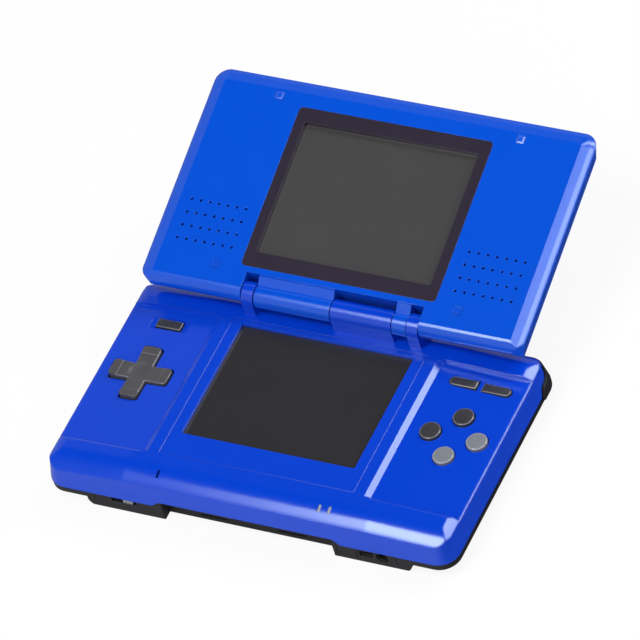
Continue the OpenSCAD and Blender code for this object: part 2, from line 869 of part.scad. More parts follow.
module headphone_jack() {
    color(black) difference() {
        union() {
            box([jack_x - 2.8, -38.4, jack_z - 2.5], [jack_x + 2.8, -25.6, jack_z + 2.5]);
            translate([jack_x, -half_d + 0.75, jack_z]) rotate([-90, 0, 0])
                cylinder(r = jack_nose, h = 4);
        }
        translate([jack_x, -half_d, jack_z]) rotate([-90, 0, 0]) cylinder(r = jack_bore, h = 15.5);
    }
}

module aux_port() {
    color(black) difference() {
        box([aux_x - 2.35, -half_d + 0.9, jack_z - 1.2], [aux_x + 2.35, -32, jack_z + 1.4]);
        box([aux_x - 1.9, -half_d, jack_z - 0.8], [aux_x + 1.9, -35, jack_z + 1]);
    }
}

module charge_port() {
    x = charge_x - 8;
    color(metal) difference() {
        box([x - 4.9, 38.2, 3.5], [x + 4.9, half_d - 1.2, 7.3]);
        box([x - 4.2, 39.2, 4.1], [x + 4.2, half_d, 6.7]);
    }
}

module microphone() {
    color(metal) post(mic_x, -35.2, 2, board_z + board_t + 0.05, 12.4);
}

// Two light guides whose tops lie in the front slope
module indicator_lenses() {
    color(light_grey) intersection() {
        for (x = lamp_x)
            box([x - lamp_w / 2 + 0.1, lamp_front + 0.1, board_z + board_t + 0.1],
                [x + lamp_w / 2 - 0.1, lamp_rear - 0.1, base_h]);
        translate([0, 0, -0.12]) base_top_form();
    }
}

// Stylus: round barrel, tapered nib and a flat grip at the rear end
module stylus() {
    y0 = half_d - stylus_len + 0.4;
    color(black) translate([stylus_x, 0, stylus_z]) {
        translate([0, y0, 0]) rotate([-90, 0, 0]) cylinder(r = 0.8, h = 2);
        translate([0, y0 + 2 - eps, 0]) rotate([-90, 0, 0])
            cylinder(r1 = 0.9, r2 = stylus_r - 0.25, h = 5);
        translate([0, y0 + 7 - 2 * eps, 0]) rotate([-90, 0, 0])
            cylinder(r = stylus_r - 0.25, h = stylus_len - 12);
        translate([0, y0 + stylus_len - 6, 0]) rotate([-90, 0, 0]) cylinder(r = stylus_r, h = 6);
    }
}

// Hollow bush that carries the left end of the lid
module hinge_bush() {
    color(metal) difference() {
        axle(pin_r, -knuckle_out + 0.2, -knuckle_in + 9);
        axle(0.9, -knuckle_out - 1, -knuckle_in + 10);
    }
}

// Friction unit held in the wide base barrel
module hinge_clutch() {
    color(metal) difference() {
        axle(clutch_r, base_barrel[0] + 0.6, base_barrel[1] - 2.2);
        axle(pin_r + running, 9, base_barrel[1]);
    }
}

// Shaft that turns with the lid inside the friction unit
module hinge_shaft() {
    color(metal) axle(pin_r, 9.5, knuckle_out - 1.4);
}

// Puts a piece drawn round the hinge axis onto the open lid
module on_lid() {
    translate([0, axis_y, axis_z]) rotate([lid_tilt, 0, 0]) children();
}

// Side and far edge of the lid: inner bevel, rim, then a tapering outer side
module lid_edge() {
    rc = lid_corner;
    slant = sqrt(1 + lid_taper * lid_taper);
    low = lid_out + lid_round;
    mid = rc - (lid_in - widest_drop - low) * lid_taper - lid_round * slant;
    intersection() {
        union() {
            polygon([[0, lid_in], [rc - bevel_w, lid_in], [rc - rim_w, lid_in - rim_drop],
                [rc, lid_in - widest_drop],
                [mid + lid_round / slant, low - lid_round * lid_taper / slant],
                [mid, low], [mid, lid_out], [0, lid_out]]);
            translate([mid, low]) circle(lid_round);
        }
        translate([0, lid_out - 1]) square([rc, lid_t + 2]);
    }
}

// Outward direction of the straight that joins the roll and the heel
heel_dir = [heel_u - roll_u, heel_z - roll_z] / norm([heel_u - roll_u, heel_z - roll_z]);
heel_sin = (roll_r - heel_r) / norm([heel_u - roll_u, heel_z - roll_z]);
heel_out = [heel_dir[1], -heel_dir[0]] * sqrt(1 - heel_sin * heel_sin) + heel_dir * heel_sin;

// Near edge of the lid in section: a roll on the inner side and a smaller heel outside.
// The arcs run a hair past the flats they meet, so every joint is a true crossing
module lid_near_edge() {
    translate([roll_u, roll_z + arc_over]) circle(roll_r);
    translate([heel_u, heel_z - arc_over]) circle(heel_r);
    polygon([[roll_u, roll_z] + heel_out * (roll_r - arc_over),
        [heel_u, heel_z] + heel_out * (heel_r - arc_over),
        [heel_u, lid_out - 1], [heel_u + 1, lid_out - 1], [heel_u + 1, lid_in + 1],
        [roll_u, lid_in + 1]]);
    translate([heel_u, lid_out - 1]) square([lid_reach, lid_t + 2]);
}

// Outside of the whole lid, hinge axis at the origin
module lid_form() {
    cx = lid_half - lid_corner;
    cu = lid_reach - lid_corner;
    near = 8;
    intersection() {
        difference() {
            union() {
                translate([cx, cu, 0]) rotate_extrude(angle = 90) lid_edge();
                translate([-cx, cu, 0]) rotate(90) rotate_extrude(angle = 90) lid_edge();
                translate([cx, (cu - near) / 2, 0]) rotate([90, 0, 0])
                    linear_extrude(cu + near, center = true) lid_edge();
                rotate(180) translate([cx, -(cu - near) / 2, 0]) rotate([90, 0, 0])
                    linear_extrude(cu + near, center = true) lid_edge();
                rotate(90) translate([cu, 0, 0]) rotate([90, 0, 0])
                    linear_extrude(2 * cx, center = true) lid_edge();
                translate([-cx, -near, lid_out]) cube([2 * cx, cu + near, lid_t]);
            }
            both_sides() lid_corner_waste();
        }
        rotate([90, 0, 90]) linear_extrude(lid_w + 2, center = true) lid_near_edge();
    }
}

// Waste outside the upright rounding of a near lid corner
module lid_corner_waste() {
    x = lid_half - heel_corner + heel_over;
    u = roll_u - roll_r + heel_corner - heel_over;
    difference() {
        box([x, u - 2 * heel_corner, lid_out - 1], [x + 2 * heel_corner, u, lid_in + 1]);
        post(x, u, heel_corner, lid_out - 2, lid_in + 2);
    }
}

// Hollow between the two lid covers
module lid_hollow() {
    round_block([-lid_half + 6, heel_u + 4.6], [lid_half - 6, lid_reach - 4.2], 3,
        lid_out + wall, lid_in - wall);
}

// Everything on the inner side of the lid parting line, with the whole near roll
module inner_side() {
    box([-lid_half - 1, -10, lid_part], [lid_half + 1, lid_reach + 1, lid_in + 1]);
    box([-lid_half - 1, -10, -1.6], [lid_half + 1, 2.6, lid_in + 1]);
}

// Notch for the hinge, through both lid covers
module hinge_notch(x, u) {
    box([-x, -10, lid_out - 1], [x, u, lid_in + 1]);
}

// Barrel and web of one lid hinge station
module lid_station(x) {
    translate([x[0], 0, 0]) rotate([0, 90, 0]) cylinder(r = barrel_r, h = x[1] - x[0]);
    translate([x[0], 0, 0]) rotate([90, 0, 90]) linear_extrude(x[1] - x[0])
        polygon([[0, -barrel_r + 0.6], [notch_u, lid_out + 3], [notch_u, lid_part + 0.1],
            [notch_u + 1, lid_part + 0.1], [notch_u + 1, lid_in - 0.5],
            [notch_u - 0.6, lid_in - 0.5], [2.2, lid_in - 2], [0, 2]]);
}

// Places of the two screws on each side, as distances from the hinge axis
fix_at = [bumper_u, plug_u];

module lid_inner_cover() {
    color(blue) on_lid() difference() {
        union() {
            difference() {
                intersection() {
                    lid_form();
                    inner_side();
                }
                hinge_notch(notch_x, notch_u);
                lid_hollow();
            }
            lid_station(lid_barrel);
            lid_station(lid_knuckle);
            both_sides() for (u = fix_at)
                post(fix_x, u, boss_r, lid_part, lid_in - wall + eps);
        }
        round_block([-frame_w / 2, frame_lo], [frame_w / 2, frame_lo + frame_h], 1.6,
            lid_part - 1, lid_in + 1);
        both_sides() {
            for (i = [0:grid_cols - 1], j = [0:grid_rows - 1])
                post(grid_x + i * grid_dx, grid_u - j * grid_du, grid_hole, lid_part,
                    lid_in + 1);
            for (u = fix_at) {
                round_block([fix_x - 1.45, u - 1.45], [fix_x + 1.45, u + 1.45], 0.3,
                    lid_in - 1.5, lid_in + 1);
                post(fix_x, u, screw_shaft + running, lid_part - 1, lid_in);
                post(fix_x, u, 1.45, lid_in - 2.4, lid_in - 1);
            }
        }
        translate([lid_barrel[0] - 1, 0, 0]) rotate([0, 90, 0])
            cylinder(r = pin_r + running, h = 11);
        translate([lid_knuckle[0] - 1, 0, 0]) rotate([0, 90, 0])
            cylinder(r = pin_r + running, h = 7);
    }
}

module lid_outer_cover() {
    color(blue) on_lid() difference() {
        union() {
            difference() {
                lid_form();
                inner_side();
                hinge_notch(notch_x, notch_u + 0.05);
                lid_hollow();
            }
            both_sides() for (u = fix_at)
                post(fix_x, u, boss_r, lid_out + 1, lid_part);
        }
        both_sides() for (u = fix_at)
            post(fix_x, u, screw_shaft + running, lid_out + wall, lid_part + 1);
    }
}

module screen_frame() {
    m = 0.05;
    color(screen_black) on_lid() difference() {
        round_block([-frame_w / 2 + m, frame_lo + m], [frame_w / 2 - m, frame_lo + frame_h - m],
            1.55, lid_in - view_drop, lid_in - 0.05);
        round_block([-view_w / 2, view_lo], [view_w / 2, view_lo + view_h], 0.4,
            lid_in - view_drop - 1, lid_in + 1);
    }
}

module upper_lcd() {
    color(light_grey) on_lid() {
        round_block([-34.5, 9.4], [34.5, 64.8], 0.8, 0.4, lid_in - view_drop - 0.02);
    }
}

// Speaker: round basket with a raised cone seat
module speaker(x) {
    z1 = lid_in - wall - 0.15;
    on_lid() difference() {
        union() {
            post(x, 20, 9, z1 - 2, z1);
            post(x, 20, 5, z1 - 3.6, z1 - 1);
        }
        translate([x, 20, z1 + 11.2]) sphere(r = 12);
    }
}

module left_speaker() {
    color(dark_grey) speaker(-50.9);
}

module right_speaker() {
    color(dark_grey) speaker(50.9);
}

module lid_screws() {
    color(metal) on_lid() both_sides() for (u = fix_at) mirror([0, 0, 1])
        screw(fix_x, u, -(lid_in - 0.62 - 0.85), 4.2, 1.35);
}

// Small square plugs that hide the two far screws
module lid_screw_covers() {
    color(blue) on_lid() both_sides() difference() {
        round_block([fix_x - 1.35, plug_u - 1.35], [fix_x + 1.35, plug_u + 1.35], 0.2,
            lid_in - 1.44, lid_in - 0.1);
        round_block([fix_x - 0.95, plug_u - 0.95], [fix_x + 0.95, plug_u + 0.95], 0.2,
            lid_in - 0.6, lid_in);
    }
}

// Soft square stops that keep the closed lid off the base
module lid_bumpers() {
    color(blue) on_lid() both_sides()
        round_block([fix_x - 1.35, bumper_u - 1.35], [fix_x + 1.35, bumper_u + 1.35], 0.3,
            lid_in - 1.44, lid_in + 0.12);
}

base_top_cover();
base_bottom_cover();
touch_panel();
lower_lcd();
main_board();
card_slot_housing();
cartridge_connector();
cartridge_slot_cover();
battery();
battery_cover();
battery_cover_screw();
case_screws();
d_pad_membrane();
button_membrane();
d_pad();
button_a();
button_b();
button_x();
button_y();
select_key();
start_key();
power_key();
left_shoulder_button();
right_shoulder_button();
volume_control();
volume_knob();
headphone_jack();
aux_port();
charge_port();
microphone();
indicator_lenses();
stylus();
hinge_bush();
hinge_clutch();
hinge_shaft();
lid_inner_cover();
lid_outer_cover();
screen_frame();
upper_lcd();
left_speaker();
right_speaker();
lid_screws();
lid_screw_covers();
lid_bumpers();
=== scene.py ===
import bmesh
import bpy
import math
from mathutils import Matrix, Vector


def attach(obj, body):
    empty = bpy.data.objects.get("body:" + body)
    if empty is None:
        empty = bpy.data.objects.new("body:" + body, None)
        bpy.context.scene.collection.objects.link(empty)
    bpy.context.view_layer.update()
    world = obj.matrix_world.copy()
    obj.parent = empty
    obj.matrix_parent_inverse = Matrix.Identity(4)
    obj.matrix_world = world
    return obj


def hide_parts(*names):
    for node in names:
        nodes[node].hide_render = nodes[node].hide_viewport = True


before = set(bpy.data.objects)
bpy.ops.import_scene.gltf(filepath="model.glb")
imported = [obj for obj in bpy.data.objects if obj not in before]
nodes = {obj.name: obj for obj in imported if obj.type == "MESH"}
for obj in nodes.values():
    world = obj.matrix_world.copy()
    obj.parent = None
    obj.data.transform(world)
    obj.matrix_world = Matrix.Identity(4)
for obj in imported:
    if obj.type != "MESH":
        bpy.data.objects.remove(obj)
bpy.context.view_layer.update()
mm = 0.001


def linkSockets(tree, source, target):
    tree.links.new(source, target)


def addNode(tree, kind, place, **values):
    node = tree.nodes.new(kind)
    node.location = place
    for name, value in values.items():
        setattr(node, name, value)
    return node


# shared effect: soft grain of moulded plastic, as a height and a tone round 1
def makeGrainGroup():
    group = bpy.data.node_groups.new("mouldedGrain", "ShaderNodeTree")
    sockets = group.interface
    for name in ("Grain Size", "Mottle Size", "Mottle Depth"):
        sockets.new_socket(name, in_out="INPUT", socket_type="NodeSocketFloat")
    for name in ("Height", "Tone", "Blotch"):
        sockets.new_socket(name, in_out="OUTPUT", socket_type="NodeSocketFloat")
    start = addNode(group, "NodeGroupInput", (-900, 0))
    end = addNode(group, "NodeGroupOutput", (700, 0))
    coords = addNode(group, "ShaderNodeTexCoord", (-900, 300))
    noises = []
    for name, height, detail in (("Grain Size", 200, 3.0), ("Mottle Size", -100, 4.0)):
        scale = addNode(group, "ShaderNodeMath", (-650, height), operation="DIVIDE")
        scale.inputs[0].default_value = 1 / mm  # the sizes are in millimetres
        noise = addNode(group, "ShaderNodeTexNoise", (-400, height))
        noise.inputs["Detail"].default_value = detail
        linkSockets(group, start.outputs[name], scale.inputs[1])
        linkSockets(group, scale.outputs[0], noise.inputs["Scale"])
        linkSockets(group, coords.outputs["Object"], noise.inputs["Vector"])
        noises.append(noise)
    fine, wide = noises
    centre = addNode(group, "ShaderNodeMath", (-150, -100), operation="SUBTRACT")
    centre.inputs[1].default_value = 0.5
    depth = addNode(group, "ShaderNodeMath", (50, -100), operation="MULTIPLY")
    tone = addNode(group, "ShaderNodeMath", (250, -100), operation="ADD")
    tone.inputs[1].default_value = 1.0
    linkSockets(group, wide.outputs["Fac"], centre.inputs[0])
    linkSockets(group, centre.outputs[0], depth.inputs[0])
    linkSockets(group, start.outputs["Mottle Depth"], depth.inputs[1])
    linkSockets(group, depth.outputs[0], tone.inputs[0])
    linkSockets(group, fine.outputs["Fac"], end.inputs["Height"])
    linkSockets(group, tone.outputs[0], end.inputs["Tone"])
    linkSockets(group, wide.outputs["Fac"], end.inputs["Blotch"])
    return group


edgeMask = {"samples": 6, "none": 0.995, "full": 0.9}  # cosine of the turn that the rounding gives


# shared effect: rounded edge normal and a mask that is 1 where an edge was rounded
def makeEdgeGroup():
    group = bpy.data.node_groups.new("roundedEdge", "ShaderNodeTree")
    sockets = group.interface
    sockets.new_socket("Radius", in_out="INPUT", socket_type="NodeSocketFloat")
    sockets.new_socket("Normal", in_out="OUTPUT", socket_type="NodeSocketVector")
    sockets.new_socket("Edge", in_out="OUTPUT", socket_type="NodeSocketFloat")
    start = addNode(group, "NodeGroupInput", (-600, 0))
    end = addNode(group, "NodeGroupOutput", (500, 0))
    bevel = addNode(group, "ShaderNodeBevel", (-350, 100), samples=edgeMask["samples"])
    flat = addNode(group, "ShaderNodeNewGeometry", (-350, -150))
    dot = addNode(group, "ShaderNodeVectorMath", (-100, 0), operation="DOT_PRODUCT")
    ramp = addNode(group, "ShaderNodeMapRange", (150, 0))
    ramp.inputs["From Min"].default_value = edgeMask["none"]
    ramp.inputs["From Max"].default_value = edgeMask["full"]
    linkSockets(group, start.outputs["Radius"], bevel.inputs["Radius"])
    linkSockets(group, bevel.outputs["Normal"], dot.inputs[0])
    linkSockets(group, flat.outputs["Normal"], dot.inputs[1])
    linkSockets(group, dot.outputs["Value"], ramp.inputs["Value"])
    linkSockets(group, bevel.outputs["Normal"], end.inputs["Normal"])
    linkSockets(group, ramp.outputs["Result"], end.inputs["Edge"])
    return group


grainGroup = makeGrainGroup()
edgeGroup = makeEdgeGroup()

outline = {"from": 66.0, "to": 69.0}  # where the rounding widens, mm from the middle plane
grainHeight = 0.02  # mm


# the edges round the outside of the shell are rounder than those of its openings
def widenOuterEdges(tree, edge, look):
    coords = addNode(tree, "ShaderNodeTexCoord", (-1700, -300))
    parts = addNode(tree, "ShaderNodeSeparateXYZ", (-1500, -300))
    sideways = addNode(tree, "ShaderNodeMath", (-1300, -300), operation="ABSOLUTE")
    radius = addNode(tree, "ShaderNodeMapRange", (-1100, -300))
    radius.inputs["From Min"].default_value = outline["from"] * mm
    radius.inputs["From Max"].default_value = outline["to"] * mm
    radius.inputs["To Min"].default_value = look["round"] * mm
    radius.inputs["To Max"].default_value = look["outerRound"] * mm
    linkSockets(tree, coords.outputs["Object"], parts.inputs[0])
    linkSockets(tree, parts.outputs["X"], sideways.inputs[0])
    linkSockets(tree, sideways.outputs[0], radius.inputs["Value"])
    linkSockets(tree, radius.outputs["Result"], edge.inputs["Radius"])


# every finish is this one shader: grain, tone, a painted highlight on its rounded edges and the
# values of its look
def makePlastic(name, look):
    material = bpy.data.materials.new(name)
    material.use_nodes = True
    tree = material.node_tree
    shader = tree.nodes["Principled BSDF"]
    grain = addNode(tree, "ShaderNodeGroup", (-900, 0), node_tree=grainGroup)
    grain.inputs["Grain Size"].default_value = look["grain"]
    grain.inputs["Mottle Size"].default_value = look["mottle"]
    grain.inputs["Mottle Depth"].default_value = look["mottleDepth"]
    edge = addNode(tree, "ShaderNodeGroup", (-900, -300), node_tree=edgeGroup)
    edge.inputs["Radius"].default_value = look["round"] * mm
    if "outerRound" in look:
        widenOuterEdges(tree, edge, look)
    tint = addNode(tree, "ShaderNodeMix", (-600, 100), data_type="RGBA", blend_type="MULTIPLY")
    tint.inputs["Factor"].default_value = 1.0
    tint.inputs["A"].default_value = (*look["colour"], 1.0)
    # rounded edges are painted in a lighter colour: a painted highlight
    highlightedEdge = addNode(tree, "ShaderNodeMix", (-350, 100), data_type="RGBA")
    highlightedEdge.inputs["B"].default_value = (*look["edgeHighlightColour"], 1.0)
    edgeAmount = addNode(tree, "ShaderNodeMath", (-600, -250), operation="MULTIPLY")
    edgeAmount.inputs[1].default_value = look["edgeHighlight"]
    rough = addNode(tree, "ShaderNodeMapRange", (-350, -100))
    rough.inputs["To Min"].default_value = look["rough"] - look["roughSpread"]
    rough.inputs["To Max"].default_value = look["rough"] + look["roughSpread"]
    bump = addNode(tree, "ShaderNodeBump", (-350, -400))
    bump.inputs["Strength"].default_value = look["bump"]
    bump.inputs["Distance"].default_value = grainHeight * mm
    linkSockets(tree, grain.outputs["Tone"], tint.inputs["B"])
    linkSockets(tree, tint.outputs["Result"], highlightedEdge.inputs["A"])
    linkSockets(tree, edge.outputs["Edge"], edgeAmount.inputs[0])
    linkSockets(tree, edgeAmount.outputs[0], highlightedEdge.inputs["Factor"])
    linkSockets(tree, highlightedEdge.outputs["Result"], shader.inputs["Base Color"])
    linkSockets(tree, grain.outputs["Blotch"], rough.inputs["Value"])
    linkSockets(tree, rough.outputs["Result"], shader.inputs["Roughness"])
    linkSockets(tree, grain.outputs["Height"], bump.inputs["Height"])
    linkSockets(tree, edge.outputs["Normal"], bump.inputs["Normal"])
    linkSockets(tree, bump.outputs["Normal"], shader.inputs["Normal"])
    shader.inputs["Metallic"].default_value = look.get("metal", 0.0)
    shader.inputs["Specular IOR Level"].default_value = look.get("specular", 0.5)
    shader.inputs["Specular Tint"].default_value = (*look.get("tint", (1.0, 1.0, 1.0)), 1.0)
    return material


# sizes of grain and rounding in millimetres; the edge colour and its amount set a painted highlight
# on rounded edges
finishes = {
    "blueShell": dict(colour=(0.0004, 0.049, 0.60), edgeHighlightColour=(0.03, 0.14, 0.8), grain=0.12,
                      mottle=9.0, mottleDepth=0.04, round=0.14, outerRound=1.1, edgeHighlight=0.08,
                      rough=0.17, roughSpread=0.02, bump=0.06, specular=0.98,
                      tint=(0.80, 0.94, 1.0)),
    "blueLid": dict(colour=(0.0005, 0.078, 0.64), edgeHighlightColour=(0.03, 0.16, 0.85), grain=0.12,
                    mottle=9.0, mottleDepth=0.04, round=0.14, outerRound=1.1, edgeHighlight=0.08,
                    rough=0.17, roughSpread=0.02, bump=0.06, specular=0.98,
                    tint=(0.80, 0.94, 1.0)),
    "coverBlue": dict(colour=(0.0008, 0.08, 0.66), edgeHighlightColour=(0.03, 0.16, 0.85), grain=0.12,
                      mottle=9.0, mottleDepth=0.04, round=0.1, edgeHighlight=0.0, rough=0.22,
                      roughSpread=0.02, bump=0.04, specular=1.0, tint=(0.9, 0.97, 1.0)),
    "blueRubber": dict(colour=(0.0008, 0.068, 0.58), edgeHighlightColour=(0.03, 0.16, 0.8), grain=0.15,
                       mottle=4.0, mottleDepth=0.06, round=0.3, edgeHighlight=0.3, rough=0.3,
                       roughSpread=0.04, bump=0.2, specular=0.2),
    "blackShell": dict(colour=(0.012, 0.012, 0.014), edgeHighlightColour=(0.04, 0.04, 0.045), grain=0.25,
                       mottle=6.0, mottleDepth=0.2, round=0.25, edgeHighlight=0.5, rough=0.5,
                       roughSpread=0.06, bump=0.35),
    "darkKeys": dict(colour=(0.033, 0.033, 0.039), edgeHighlightColour=(0.26, 0.26, 0.28), grain=0.18,
                     mottle=3.0, mottleDepth=0.2, round=0.35, edgeHighlight=0.8, rough=0.32,
                     roughSpread=0.05, bump=0.3),
    # cross pad: the dark keys' plastic painted lighter, a painted sheen
    "padPaintedSheen": dict(colour=(0.070, 0.068, 0.075), edgeHighlightColour=(0.30, 0.30, 0.32), grain=0.18,
                    mottle=3.0, mottleDepth=0.15, round=0.35, edgeHighlight=0.8, rough=0.33,
                    roughSpread=0.05, bump=0.3),
    # rim finishes: the keys' plastic painted lighter on their bevels, a painted highlight
    "darkKeyHighlightRim": dict(colour=(0.13, 0.13, 0.14), edgeHighlightColour=(0.3, 0.3, 0.32), grain=0.18,
                    mottle=3.0, mottleDepth=0.1, round=0.1, edgeHighlight=0.3, rough=0.2,
                    roughSpread=0.03, bump=0.1, specular=0.8),
    "greyKeyHighlightRim": dict(colour=(0.32, 0.33, 0.36), edgeHighlightColour=(0.5, 0.5, 0.52), grain=0.18,
                    mottle=3.0, mottleDepth=0.1, round=0.1, edgeHighlight=0.3, rough=0.2,
                    roughSpread=0.03, bump=0.1, specular=0.8),
    "greyKeys": dict(colour=(0.19, 0.203, 0.235), edgeHighlightColour=(0.6, 0.62, 0.66), grain=0.18,
                     mottle=3.0, mottleDepth=0.12, round=0.35, edgeHighlight=0.7, rough=0.33,
                     roughSpread=0.05, bump=0.3),
    "screenFrame": dict(colour=(0.028, 0.022, 0.038), edgeHighlightColour=(0.06, 0.06, 0.08), grain=0.3,
                        mottle=14.0, mottleDepth=0.15, round=0.2, edgeHighlight=0.3, rough=0.22,
                        roughSpread=0.04, bump=0.05),
    "upperPicture": dict(colour=(0.059, 0.059, 0.061), edgeHighlightColour=(0.07, 0.07, 0.07), grain=0.3,
                         mottle=30.0, mottleDepth=0.1, round=0.1, edgeHighlight=0.0, rough=0.16,
                         roughSpread=0.03, bump=0.03),
    "lowerPicture": dict(colour=(0.026, 0.025, 0.028), edgeHighlightColour=(0.05, 0.05, 0.06), grain=0.3,
                         mottle=30.0, mottleDepth=0.1, round=0.1, edgeHighlight=0.0, rough=0.2,
                         roughSpread=0.03, bump=0.03),
    "brightSteel": dict(colour=(0.58, 0.58, 0.6), edgeHighlightColour=(0.8, 0.8, 0.8), grain=0.2,
                        mottle=4.0, mottleDepth=0.15, round=0.12, edgeHighlight=0.3, rough=0.3,
                        roughSpread=0.08, bump=0.2, metal=1.0),
    "greenBoard": dict(colour=(0.02, 0.12, 0.05), edgeHighlightColour=(0.2, 0.2, 0.1), grain=0.3,
                       mottle=2.0, mottleDepth=0.3, round=0.1, edgeHighlight=0.3, rough=0.4,
                       roughSpread=0.08, bump=0.3),
    "silicone": dict(colour=(0.12, 0.12, 0.13), edgeHighlightColour=(0.16, 0.16, 0.17), grain=0.3,
                     mottle=4.0, mottleDepth=0.15, round=0.2, edgeHighlight=0.2, rough=0.7,
                     roughSpread=0.05, bump=0.2),
    "batteryPack": dict(colour=(0.3, 0.31, 0.33), edgeHighlightColour=(0.4, 0.4, 0.42), grain=0.3,
                        mottle=5.0, mottleDepth=0.1, round=0.3, edgeHighlight=0.2, rough=0.5,
                        roughSpread=0.05, bump=0.2),
    "lightGuide": dict(colour=(0.3, 0.33, 0.42), edgeHighlightColour=(0.5, 0.55, 0.65), grain=0.2,
                       mottle=2.0, mottleDepth=0.1, round=0.15, edgeHighlight=0.3, rough=0.25,
                       roughSpread=0.04, bump=0.1),
}
materials = {name: makePlastic(name, look) for name, look in finishes.items()}
print("materials made:", len(materials))

wears = {  # which CAD nodes carry which finish
    "blueShell": ["base_top_cover"],
    "blueLid": ["lid_inner_cover", "lid_outer_cover"],
    "coverBlue": ["lid_screw_covers"],
    "blueRubber": ["lid_bumpers"],
    "blackShell": ["base_bottom_cover", "cartridge_slot_cover", "battery_cover",
                   "left_shoulder_button", "right_shoulder_button", "headphone_jack", "aux_port",
                   "stylus"],
    "darkKeys": ["d_pad", "button_x", "button_y", "select_key", "start_key", "power_key",
                 "cartridge_connector", "volume_control", "left_speaker", "right_speaker"],
    "greyKeys": ["button_a", "button_b", "volume_knob"],
    "screenFrame": ["screen_frame"],
    "upperPicture": ["upper_lcd"],
    "lowerPicture": ["touch_panel", "lower_lcd"],
    "brightSteel": ["battery_cover_screw", "case_screws", "card_slot_housing", "charge_port",
                    "microphone", "hinge_bush", "hinge_clutch", "hinge_shaft", "lid_screws"],
    "greenBoard": ["main_board"],
    "silicone": ["d_pad_membrane", "button_membrane"],
    "batteryPack": ["battery"],
    "lightGuide": ["indicator_lenses"],
}
for finish, names in wears.items():
    for name in names:
        mesh = nodes[name].data
        mesh.materials.clear()
        mesh.materials.append(materials[finish])
dressed = set(sum(wears.values(), []))
print("nodes without a finish:", sorted(set(nodes) - dressed))


# pieces modelled by hand, all sizes in millimetres
rimSlot = 1  # material slot of the softened rims, painted lighter as a painted highlight
alongShare = 0.9  # a direction lies along an axis when its share of it is above this
acrossShare = 0.1  # and across the axis when below this
near = 0.01  # places this close count as one
weldGap = 0.002  # points this close are joined


def startBlock(name, middle, size):
    bpy.ops.object.select_all(action="DESELECT")
    bpy.ops.mesh.primitive_cube_add(size=1.0, location=[v * mm for v in middle])
    block = bpy.context.object
    block.name = name
    block.scale = [v * mm for v in size]
    bpy.ops.object.transform_apply(location=False, rotation=False, scale=True)
    return block


def startRound(name, middle, radius, height, sides):
    bpy.ops.object.select_all(action="DESELECT")
    bpy.ops.mesh.primitive_cylinder_add(vertices=sides, radius=radius * mm, depth=height * mm,
                                        location=[v * mm for v in middle])
    bpy.context.object.name = name
    return bpy.context.object


# edit mode: selects the faces, edges or vertices whose middle (mm) and normal pass the test
def pick(kind, test):
    bpy.ops.mesh.select_mode(type=kind)
    bpy.ops.mesh.select_all(action="DESELECT")
    mesh = bpy.context.object.data
    work = bmesh.from_edit_mesh(mesh)
    work.normal_update()
    if kind == "FACE":
        for face in work.faces:
            face.select_set(test(face.calc_center_median() / mm, face.normal))
    elif kind == "EDGE":
        for edge in work.edges:
            start, end = (corner.co / mm for corner in edge.verts)
            edge.select_set(test((start + end) / 2, (end - start).normalized()))
    else:
        for corner in work.verts:
            corner.select_set(test(corner.co / mm, corner.normal))
    bmesh.update_edit_mesh(mesh)


def pushFaces(step):
    bpy.ops.mesh.extrude_region_move(TRANSFORM_OT_translate={"value": [v * mm for v in step]})


def moveFaces(step):
    bpy.ops.transform.translate(value=[v * mm for v in step])


def insetFaces(width):
    bpy.ops.mesh.inset(thickness=width * mm, depth=0.0)


# the bevel keeps its neighbours' finish unless it is given a material slot
def bevelEdges(width, steps=4, finish=-1):
    bpy.ops.mesh.bevel(offset=width * mm, segments=steps, affect="EDGES", material=finish)


def dressPiece(piece, *names):
    for name in names:
        piece.data.materials.append(materials[name])


# merges, turns the faces outwards, smooths, and hands the piece to its CAD node's place
def finishPiece(piece, body, node, smooth=32.0):
    bpy.ops.object.mode_set(mode="OBJECT")
    bpy.ops.object.select_all(action="DESELECT")
    bpy.context.view_layer.objects.active = piece
    piece.select_set(True)
    bpy.ops.object.transform_apply(location=True, rotation=True, scale=True)
    bpy.ops.object.mode_set(mode="EDIT")
    bpy.ops.mesh.select_all(action="SELECT")
    bpy.ops.mesh.remove_doubles(threshold=weldGap * mm)
    bpy.ops.mesh.normals_make_consistent(inside=False)
    bpy.ops.object.mode_set(mode="OBJECT")
    bpy.ops.object.shade_smooth_by_angle(angle=math.radians(smooth))
    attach(piece, body)
    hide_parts(node)


roundButton = {"radius": 3.55, "edge": 0.42, "dome": 22.0, "rings": (0.4, 0.7, 0.8, 0.8),
               "flange": 4.45, "flangeLow": 11.4, "flangeHigh": 12.3, "firstTop": 15.84,
               "sides": 96, "rimShare": 0.95, "rimSteps": 5}
buttonPlaces = {  # middle, top, cap finish, rim finish with its painted highlight and slot of each button
    "button_a": ((65.2, 2.2), 15.84, "greyKeys", "greyKeyHighlightRim", "grey_keys"),
    "button_b": ((57.0, -6.0), 16.27, "greyKeys", "greyKeyHighlightRim", "grey_keys"),
    "button_x": ((57.0, 10.4), 16.27, "darkKeys", "darkKeyHighlightRim", "dark_keys"),
    "button_y": ((48.8, 2.2), 16.70, "darkKeys", "darkKeyHighlightRim", "dark_keys"),
}
